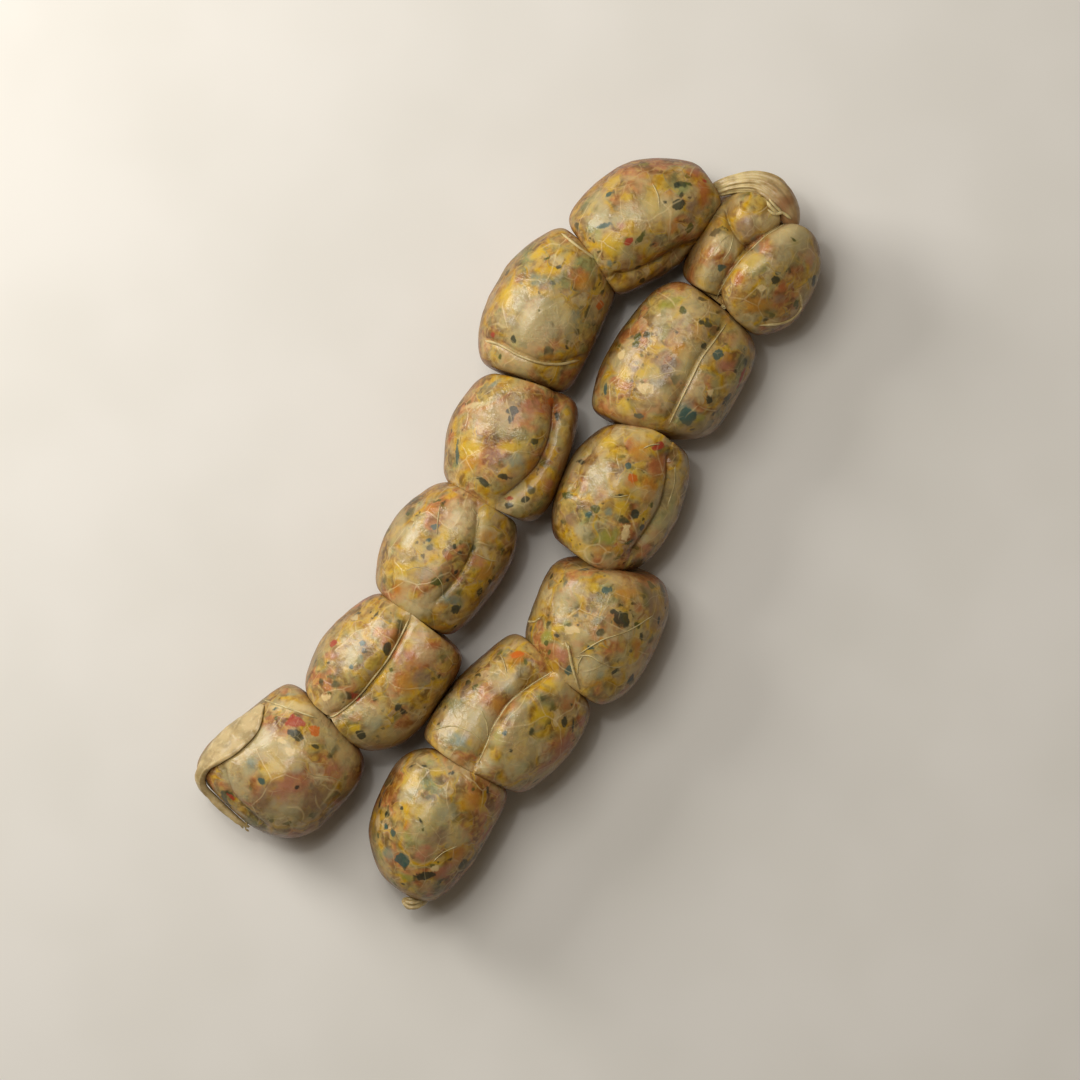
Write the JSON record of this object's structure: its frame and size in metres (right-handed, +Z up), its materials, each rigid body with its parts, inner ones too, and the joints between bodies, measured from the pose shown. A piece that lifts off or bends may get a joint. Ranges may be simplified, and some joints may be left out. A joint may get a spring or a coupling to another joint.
{
  "type": "string of sausage links",
  "caption": "String of short fresh sausage links in natural casing, laid flat in a hairpin, with herbs and pepper showing through the skin.",
  "frame": {"origin": "centre of the bounding box in plan, on the surface that the string lies on", "axes": "+Z up, +Y along the two runs of links toward the bend of the hairpin, +X to the right when seen from above with the bend at the far end"},
  "size_m": [0.1991, 0.2401, 0.0395],
  "materials": {
    "filled_casing": "wet natural casing over coarse pale filling, glossy",
    "empty_casing": "moist cream natural casing, folded and ridged, satin"
  },
  "bodies": {
    "root": {"link_01": "filled_casing", "link_02": "filled_casing", "link_03": "filled_casing", "link_04": "filled_casing", "link_05": "filled_casing", "link_06": "filled_casing", "link_07": "filled_casing", "link_08": "filled_casing", "link_09": "filled_casing", "link_10": "filled_casing", "link_11": "filled_casing", "link_12": "filled_casing", "twist_1_2": "empty_casing", "twist_2_3": "empty_casing", "twist_3_4": "empty_casing", "twist_4_5": "empty_casing", "twist_5_6": "empty_casing", "twist_7_8": "empty_casing", "twist_8_9": "empty_casing", "twist_9_10": "empty_casing", "twist_10_11": "empty_casing", "twist_11_12": "empty_casing", "slack_sleeve": "empty_casing", "end_knot": "empty_casing", "folded_casing_end": "empty_casing"}
  },
  "joints": []
}
